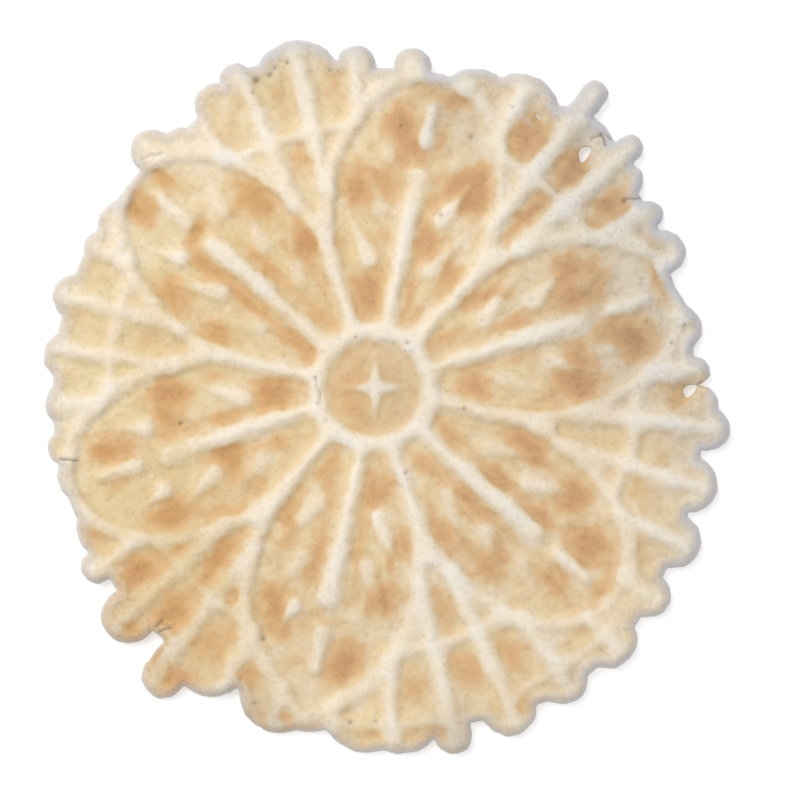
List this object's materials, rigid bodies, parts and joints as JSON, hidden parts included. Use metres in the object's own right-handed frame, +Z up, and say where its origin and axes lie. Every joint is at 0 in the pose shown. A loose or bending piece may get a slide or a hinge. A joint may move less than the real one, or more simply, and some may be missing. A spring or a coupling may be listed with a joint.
{
  "type": "wafer cookie",
  "caption": "Round crisp pizzelle wafer with a moulded rosette of petals round a starred ring, a ribbed lattice between them, and an uneven lobed edge.",
  "frame": {"origin": "on the surface that the wafer lies on, under the middle of its bounding box", "axes": "+Z up through the wafer's thickness; +X and +Y along the arms of the star in the middle ring, with one petal's spine about 12 degrees clockwise of +Y"},
  "size_m": [0.1242, 0.1292, 0.0042],
  "materials": {
    "baked_wafer": "dry matte baked batter, cream ribs with toasted golden pockets"
  },
  "bodies": {
    "root": {"wafer": "baked_wafer"}
  },
  "joints": []
}
